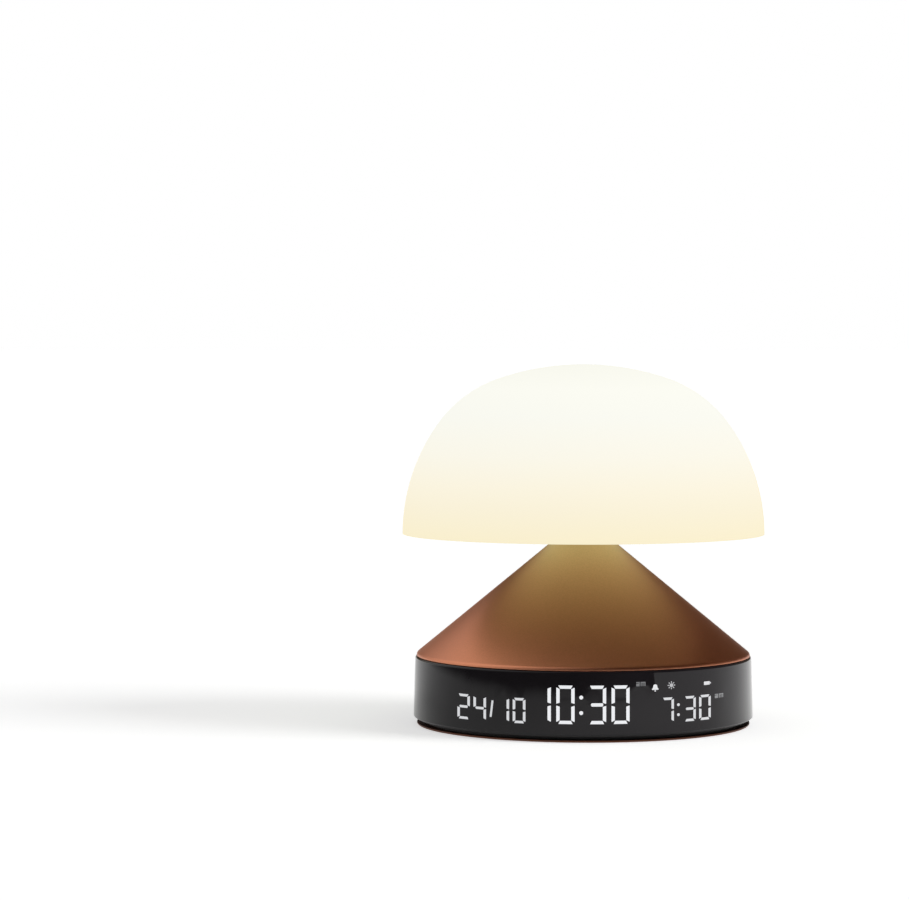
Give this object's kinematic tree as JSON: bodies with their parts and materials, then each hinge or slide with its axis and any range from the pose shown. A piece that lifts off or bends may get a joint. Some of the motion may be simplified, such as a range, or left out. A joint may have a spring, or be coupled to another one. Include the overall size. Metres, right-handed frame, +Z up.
{
  "type": "sunrise alarm clock",
  "caption": "Bedside sunrise alarm clock: opal dome lamp that is pressed like a button, copper cone, smoked display band with lit time, date and alarm, buttons and a USB-C port at the back",
  "frame": {"origin": "on the table under the middle of the base", "axes": "+Z up, the display faces -Y, +X to the right of someone who reads the clock"},
  "size_m": [0.12, 0.12, 0.1194],
  "materials": {
    "opal_dome": "opal white acrylic, satin, lit from inside",
    "clear_plastic": "clear polycarbonate",
    "copper_anodised": "satin copper anodised aluminium",
    "bare_aluminium": "turned aluminium",
    "steel": "zinc plated steel",
    "spring_steel": "spring steel",
    "smoked_gloss": "smoked piano black, glossy",
    "lit_white": "white light guide, lit",
    "black_plastic": "fine matte black",
    "silicone": "matte silicone",
    "board_green": "solder mask",
    "board_white": "white solder mask",
    "led_package": "phosphor LED",
    "chip_black": "moulded package",
    "connector_cream": "nylon",
    "battery_foil": "pouch foil",
    "speaker_paper": "treated paper",
    "magnet_steel": "nickel plated",
    "lead_sleeve": "insulated lead",
    "ribbon": "flat flexible cable",
    "button_black": "fine matte"
  },
  "bodies": {
    "lamp_base": {"adaptor_ring": "black_plastic", "alarm_digits": "lit_white", "base_plate": "copper_anodised", "base_tray": "black_plastic", "battery_bracket": "black_plastic", "battery_bracket_screws": "steel", "battery_cell": "battery_foil", "battery_lead": "lead_sleeve", "board_capacitors": "bare_aluminium", "board_connectors": "connector_cream", "board_screws": "steel", "button_switches": "steel", "case_screws": "steel", "charge_inductor": "chip_black", "clock_crystal": "bare_aluminium", "colour_leds": "led_package", "cone_shell": "copper_anodised", "date_digits": "lit_white", "display_band": "smoked_gloss", "display_board": "board_green", "display_frame": "black_plastic", "display_icons": "lit_white", "display_leds": "led_package", "display_ribbon": "ribbon", "foot_ring": "silicone", "head_lead": "lead_sleeve", "heat_spreader": "bare_aluminium", "led_board": "board_white", "led_board_screws": "steel", "main_board": "board_green", "memory_chip": "chip_black", "neck_circlip": "spring_steel", "neck_nut": "steel", "neck_post": "bare_aluminium", "neck_washer": "steel", "processor_chip": "chip_black", "return_spring": "spring_steel", "speaker_cone": "speaker_paper", "speaker_frame": "black_plastic", "speaker_gasket": "silicone", "speaker_lead": "lead_sleeve", "speaker_magnet": "magnet_steel", "time_digits": "lit_white", "top_switch": "steel", "usb_socket": "steel", "usb_tongue": "black_plastic", "warm_leds": "led_package"},
    "dome_head": {"dome_diffuser": "opal_dome", "dome_floor": "opal_dome", "press_bridge": "clear_plastic", "bridge_screws": "steel", "top_switch_plunger": "chip_black"},
    "alarm_key": {"alarm_button": "button_black", "alarm_switch_plunger": "chip_black"},
    "set_key": {"set_button": "button_black", "set_switch_plunger": "chip_black"},
    "minus_key": {"minus_button": "button_black", "minus_switch_plunger": "chip_black"},
    "plus_key": {"plus_button": "button_black", "plus_switch_plunger": "chip_black"}
  },
  "joints": [
    {"name": "dome_press", "type": "slide", "parent": "lamp_base", "child": "dome_head", "axis": [0, 0, -1], "range_m": [0, 0.001], "stiffness_N_per_m": 1500, "springref_m": -0.0013, "deforming": ["return_spring"]},
    {"name": "alarm_press", "type": "slide", "parent": "lamp_base", "child": "alarm_key", "axis": [0.515, -0.8572, 0], "range_m": [0, 0.0006], "stiffness_N_per_m": 800, "springref_m": -0.0005},
    {"name": "set_press", "type": "slide", "parent": "lamp_base", "child": "set_key", "axis": [0.2924, -0.9563, 0], "range_m": [0, 0.0006], "stiffness_N_per_m": 800, "springref_m": -0.0005},
    {"name": "minus_press", "type": "slide", "parent": "lamp_base", "child": "minus_key", "axis": [-0.2924, -0.9563, 0], "range_m": [0, 0.0006], "stiffness_N_per_m": 800, "springref_m": -0.0005},
    {"name": "plus_press", "type": "slide", "parent": "lamp_base", "child": "plus_key", "axis": [-0.515, -0.8572, 0], "range_m": [0, 0.0006], "stiffness_N_per_m": 800, "springref_m": -0.0005}
  ]
}
